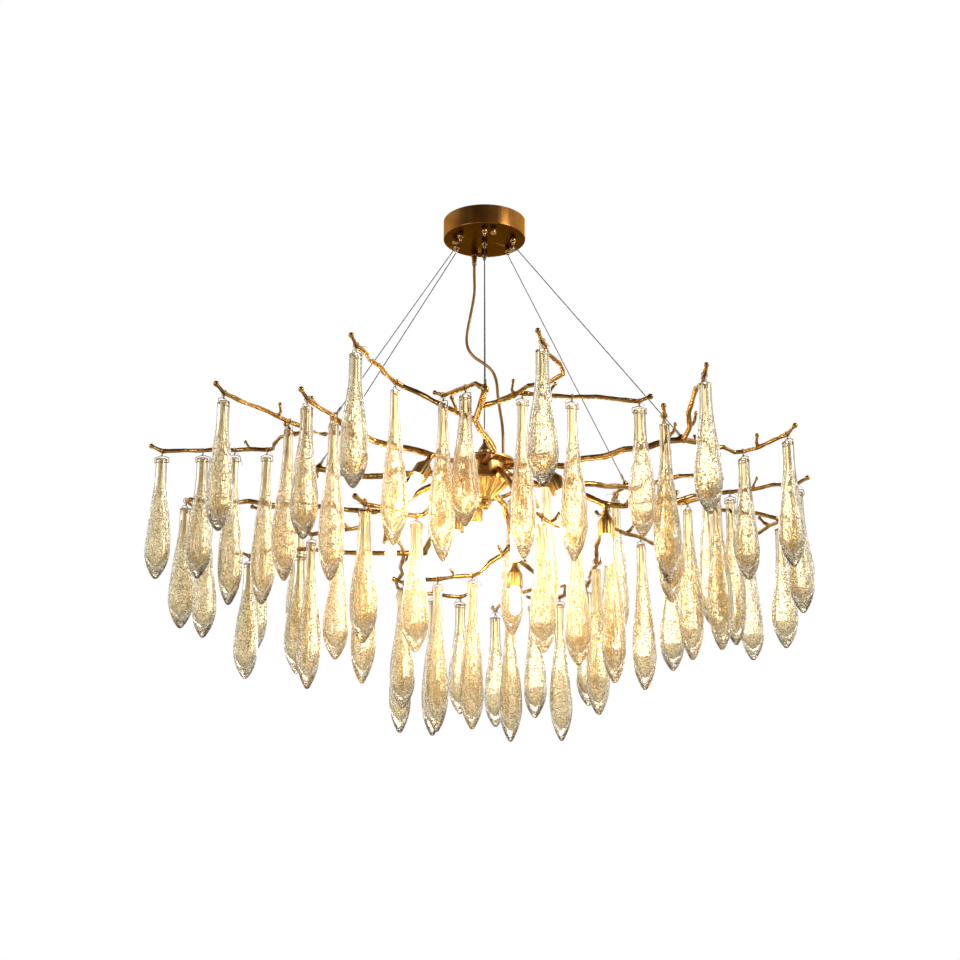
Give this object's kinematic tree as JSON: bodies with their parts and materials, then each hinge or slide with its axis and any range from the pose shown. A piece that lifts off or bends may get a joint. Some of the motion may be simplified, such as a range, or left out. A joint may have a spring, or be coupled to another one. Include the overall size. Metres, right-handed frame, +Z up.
{
  "type": "branch chandelier",
  "caption": "Ceiling chandelier of cast branch arms with hanging glass drops and capsule lamps, hung on steel cables from a round canopy with push-release grippers.",
  "frame": {"origin": "middle of the ceiling plate's top face, which lies on the ceiling", "axes": "+Z up into the ceiling, -Y towards the viewer of the picture, +X to the viewer's right"},
  "size_m": [0.9977, 0.8003, 0.776],
  "materials": {
    "canopy_brass": "brushed",
    "branch_brass": "cast, satin",
    "drop_glass": "clear, seeded",
    "bulb_glass": "frosted",
    "socket_ceramic": "glazed",
    "cable_steel": "stranded",
    "plated_steel": "zinc plated",
    "terminal_plastic": "moulded",
    "cord_jacket": "clear amber"
  },
  "bodies": {
    "canopy": {"ceiling_plate": "plated_steel", "canopy_shell": "canopy_brass", "cap_nuts": "canopy_brass", "terminal_block": "terminal_plastic", "cable_grippers": "canopy_brass", "cord_gland": "canopy_brass", "suspension_cables": "cable_steel", "power_cord": "cord_jacket"},
    "plungers": {"gripper_plungers": "canopy_brass"},
    "fixture": {"hub_rod": "plated_steel", "hub_finial": "canopy_brass", "hub_plate": "canopy_brass", "hub_drum": "canopy_brass", "hub_cone": "canopy_brass", "hub_ball": "canopy_brass", "arm_near": "branch_brass", "arm_near_left": "branch_brass", "arm_far_left": "branch_brass", "arm_far": "branch_brass", "arm_far_right": "branch_brass", "arm_near_right": "branch_brass", "arm_low_near_left": "branch_brass", "arm_low_left": "branch_brass", "arm_low_far_left": "branch_brass", "arm_low_far_right": "branch_brass", "arm_low_right": "branch_brass", "arm_low_near_right": "branch_brass", "lamp_cups": "branch_brass", "lamp_sockets": "socket_ceramic", "lamp_bulbs": "bulb_glass", "drop_ties": "branch_brass", "cable_ferrules": "cable_steel"},
    "drops_near_1": {"drops_near_1": "drop_glass"},
    "drops_near_2": {"drops_near_2": "drop_glass"},
    "drops_near_3": {"drops_near_3": "drop_glass"},
    "drops_near_4": {"drops_near_4": "drop_glass"},
    "drops_near_left_1": {"drops_near_left_1": "drop_glass"},
    "drops_near_left_2": {"drops_near_left_2": "drop_glass"},
    "drops_near_left_3": {"drops_near_left_3": "drop_glass"},
    "drops_far_left_1": {"drops_far_left_1": "drop_glass"},
    "drops_far_1": {"drops_far_1": "drop_glass"},
    "drops_far_right_1": {"drops_far_right_1": "drop_glass"},
    "drops_far_right_2": {"drops_far_right_2": "drop_glass"},
    "drops_near_right_1": {"drops_near_right_1": "drop_glass"},
    "drops_near_right_2": {"drops_near_right_2": "drop_glass"},
    "drops_near_right_3": {"drops_near_right_3": "drop_glass"},
    "drops_low_left_1": {"drops_low_left_1": "drop_glass"},
    "drops_low_left_2": {"drops_low_left_2": "drop_glass"},
    "drops_low_far_left_1": {"drops_low_far_left_1": "drop_glass"},
    "drops_low_far_left_2": {"drops_low_far_left_2": "drop_glass"},
    "drops_low_far_right_1": {"drops_low_far_right_1": "drop_glass"},
    "drops_low_far_right_2": {"drops_low_far_right_2": "drop_glass"},
    "drops_low_far_right_3": {"drops_low_far_right_3": "drop_glass"},
    "drops_low_right_1": {"drops_low_right_1": "drop_glass"},
    "drops_low_right_2": {"drops_low_right_2": "drop_glass"},
    "drops_low_right_3": {"drops_low_right_3": "drop_glass"},
    "drops_low_right_4": {"drops_low_right_4": "drop_glass"},
    "drops_low_right_5": {"drops_low_right_5": "drop_glass"},
    "drops_low_near_left_1": {"drops_low_near_left_1": "drop_glass"},
    "drops_low_near_right_1": {"drops_low_near_right_1": "drop_glass"}
  },
  "joints": [
    {"name": "plunger_press", "type": "slide", "parent": "canopy", "child": "plungers", "axis": [0, 0, 1], "range_m": [0, 0.002], "stiffness_N_per_m": 400},
    {"name": "height_adjust", "type": "slide", "parent": "canopy", "child": "fixture", "axis": [0, 0, 1], "range_m": [0, 0.15], "deforming": ["suspension_cables", "power_cord"]},
    {"name": "swing_near_1", "type": "hinge", "parent": "fixture", "child": "drops_near_1", "pos_m": [-0.126, -0.178, -0.35], "axis": [-0.3122, -0.95, 0], "range_deg": [-4, 4]},
    {"name": "swing_near_2", "type": "hinge", "parent": "fixture", "child": "drops_near_2", "pos_m": [-0.027, -0.232, -0.378], "axis": [-0.6958, 0.7182, 0], "range_deg": [-4, 4]},
    {"name": "swing_near_3", "type": "hinge", "parent": "fixture", "child": "drops_near_3", "pos_m": [0.052, -0.198, -0.374], "axis": [0.9797, 0.2007, 0], "range_deg": [-4, 4]},
    {"name": "swing_near_4", "type": "hinge", "parent": "fixture", "child": "drops_near_4", "pos_m": [0.074, -0.358, -0.36], "axis": [-0.3299, -0.944, 0], "range_deg": [-4, 4]},
    {"name": "swing_near_left_1", "type": "hinge", "parent": "fixture", "child": "drops_near_left_1", "pos_m": [-0.212, -0.173, -0.398], "axis": [-0.4148, -0.9099, 0], "range_deg": [-4, 4]},
    {"name": "swing_near_left_2", "type": "hinge", "parent": "fixture", "child": "drops_near_left_2", "pos_m": [-0.285, -0.088, -0.378], "axis": [-0.5369, -0.8437, 0], "range_deg": [-4, 4]},
    {"name": "swing_near_left_3", "type": "hinge", "parent": "fixture", "child": "drops_near_left_3", "pos_m": [-0.327, 0.002, -0.392], "axis": [-0.999, 0.044, 0], "range_deg": [-4, 4]},
    {"name": "swing_far_left_1", "type": "hinge", "parent": "fixture", "child": "drops_far_left_1", "pos_m": [-0.3, 0.24, -0.405], "axis": [-0.848, 0.53, 0], "range_deg": [-4, 4]},
    {"name": "swing_far_1", "type": "hinge", "parent": "fixture", "child": "drops_far_1", "pos_m": [0.045, 0.254, -0.385], "axis": [0.3618, -0.9323, 0], "range_deg": [-4, 4]},
    {"name": "swing_far_right_1", "type": "hinge", "parent": "fixture", "child": "drops_far_right_1", "pos_m": [0.212, 0.205, -0.4], "axis": [-0.0388, 0.9992, 0], "range_deg": [-4, 4]},
    {"name": "swing_far_right_2", "type": "hinge", "parent": "fixture", "child": "drops_far_right_2", "pos_m": [0.348, 0.127, -0.395], "axis": [0.2705, 0.9627, 0], "range_deg": [-4, 4]},
    {"name": "swing_near_right_1", "type": "hinge", "parent": "fixture", "child": "drops_near_right_1", "pos_m": [0.388, -0.002, -0.396], "axis": [0.5355, -0.8445, 0], "range_deg": [-4, 4]},
    {"name": "swing_near_right_2", "type": "hinge", "parent": "fixture", "child": "drops_near_right_2", "pos_m": [0.262, -0.098, -0.412], "axis": [-0.1305, -0.9915, 0], "range_deg": [-4, 4]},
    {"name": "swing_near_right_3", "type": "hinge", "parent": "fixture", "child": "drops_near_right_3", "pos_m": [0.3, -0.25, -0.366], "axis": [0.0493, -0.9988, 0], "range_deg": [-4, 4]},
    {"name": "swing_low_left_1", "type": "hinge", "parent": "fixture", "child": "drops_low_left_1", "pos_m": [-0.455, 0.06, -0.455], "axis": [0.3122, 0.95, 0], "range_deg": [-4, 4]},
    {"name": "swing_low_left_2", "type": "hinge", "parent": "fixture", "child": "drops_low_left_2", "pos_m": [-0.18, 0.038, -0.502], "axis": [-0.8795, 0.476, 0], "range_deg": [-4, 4]},
    {"name": "swing_low_far_left_1", "type": "hinge", "parent": "fixture", "child": "drops_low_far_left_1", "pos_m": [-0.29, 0.16, -0.505], "axis": [-0.8838, 0.4679, 0], "range_deg": [-4, 4]},
    {"name": "swing_low_far_left_2", "type": "hinge", "parent": "fixture", "child": "drops_low_far_left_2", "pos_m": [-0.137, 0.322, -0.532], "axis": [0.866, 0.5, 0], "range_deg": [-4, 4]},
    {"name": "swing_low_far_right_1", "type": "hinge", "parent": "fixture", "child": "drops_low_far_right_1", "pos_m": [0.042, 0.295, -0.55], "axis": [-0.212, 0.9773, 0], "range_deg": [-4, 4]},
    {"name": "swing_low_far_right_2", "type": "hinge", "parent": "fixture", "child": "drops_low_far_right_2", "pos_m": [0.125, 0.32, -0.545], "axis": [-0.9191, 0.3939, 0], "range_deg": [-4, 4]},
    {"name": "swing_low_far_right_3", "type": "hinge", "parent": "fixture", "child": "drops_low_far_right_3", "pos_m": [-0.019, 0.125, -0.556], "axis": [-0.901, 0.4338, 0], "range_deg": [-4, 4]},
    {"name": "swing_low_right_1", "type": "hinge", "parent": "fixture", "child": "drops_low_right_1", "pos_m": [0.191, 0.045, -0.5], "axis": [0.6465, 0.7629, 0], "range_deg": [-4, 4]},
    {"name": "swing_low_right_2", "type": "hinge", "parent": "fixture", "child": "drops_low_right_2", "pos_m": [0.301, -0.002, -0.475], "axis": [0.3924, -0.9198, 0], "range_deg": [-4, 4]},
    {"name": "swing_low_right_3", "type": "hinge", "parent": "fixture", "child": "drops_low_right_3", "pos_m": [0.375, 0.062, -0.44], "axis": [0.9251, -0.3798, 0], "range_deg": [-4, 4]},
    {"name": "swing_low_right_4", "type": "hinge", "parent": "fixture", "child": "drops_low_right_4", "pos_m": [0.455, 0.095, -0.478], "axis": [-0.3457, 0.9383, 0], "range_deg": [-4, 4]},
    {"name": "swing_low_right_5", "type": "hinge", "parent": "fixture", "child": "drops_low_right_5", "pos_m": [0.172, 0.121, -0.535], "axis": [-0.0316, 0.9995, 0], "range_deg": [-4, 4]},
    {"name": "swing_low_near_left_1", "type": "hinge", "parent": "fixture", "child": "drops_low_near_left_1", "pos_m": [-0.098, -0.086, -0.52], "axis": [-0.7593, -0.6508, 0], "range_deg": [-4, 4]},
    {"name": "swing_low_near_right_1", "type": "hinge", "parent": "fixture", "child": "drops_low_near_right_1", "pos_m": [0.081, -0.09, -0.522], "axis": [0.501, 0.8654, 0], "range_deg": [-4, 4]}
  ]
}
